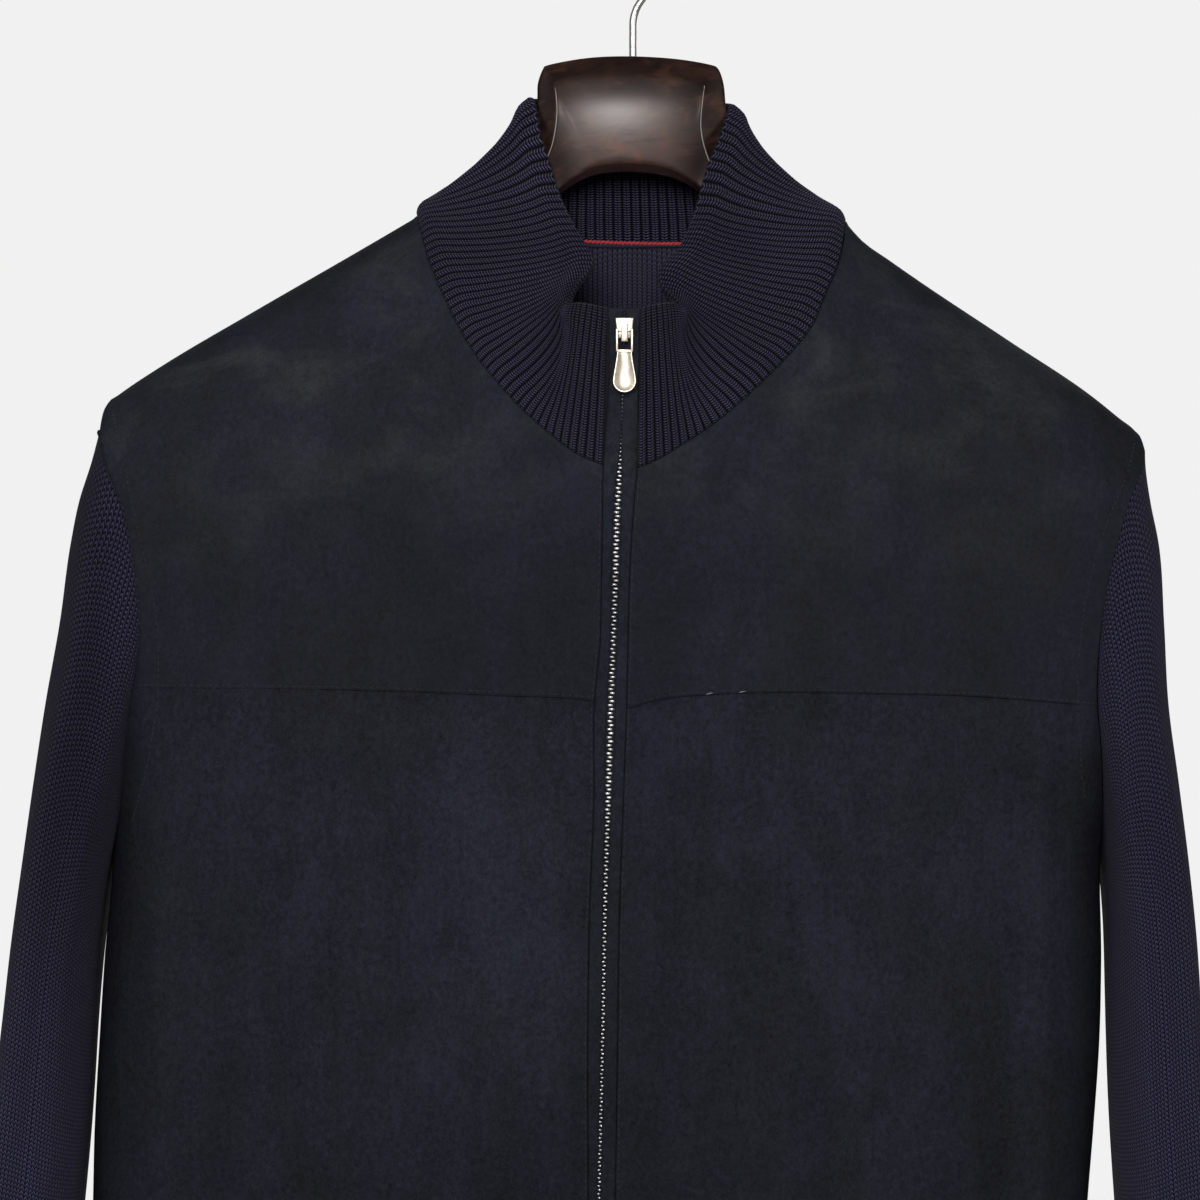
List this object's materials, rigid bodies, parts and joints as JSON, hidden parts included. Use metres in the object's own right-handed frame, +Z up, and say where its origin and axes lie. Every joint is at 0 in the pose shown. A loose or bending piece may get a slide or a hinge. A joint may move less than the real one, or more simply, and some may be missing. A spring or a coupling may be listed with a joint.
{
  "type": "suede-front cardigan on a wooden hanger",
  "caption": "Zip-up cardigan with suede fronts, knit sleeves and back, rib collar, cuffs and hem, hanging open at neck, hem and cuffs on a shaped wooden hanger with a wire hook.",
  "frame": {"origin": "top of the inside of the hook, where a rail carries the hanger", "axes": "+Z up; the front of the garment faces -Y; the wearer's left side is at +X"},
  "size_m": [0.6591, 0.1641, 0.9235],
  "materials": {
    "suede_upper": "matt napped suede, dark navy",
    "suede_lower": "matt napped suede, dark navy",
    "knit": "plain knit, dark navy",
    "rib_knit": "rib knit, dark navy",
    "zip_tape": "woven tape, near black",
    "nickel": "polished nickel, slightly warm",
    "dark_wood": "dark brown satin lacquer",
    "steel_wire": "bright plated wire"
  },
  "bodies": {
    "cardigan": {"front_right_upper": "suede_upper", "front_left_upper": "suede_upper", "placket_right": "suede_upper", "placket_left": "suede_upper", "front_right_lower": "suede_lower", "front_left_lower": "suede_lower", "back": "knit", "sleeve_right": "knit", "sleeve_left": "knit", "collar": "rib_knit", "cuff_right": "rib_knit", "cuff_left": "rib_knit", "hem_band": "rib_knit", "zip_tape_right": "zip_tape", "zip_tape_left": "zip_tape", "zip_slider": "nickel", "zip_box": "nickel", "hanger_wood": "dark_wood", "hanger_hook": "steel_wire"},
    "pull_tab": {"pull_tab": "nickel"}
  },
  "joints": [
    {"name": "pull_tab_swing", "type": "hinge", "parent": "cardigan", "child": "pull_tab", "pos_m": [-0.0045, -0.08856, -0.2275], "axis": [-1, 0, 0], "range_deg": [0, 150]}
  ]
}
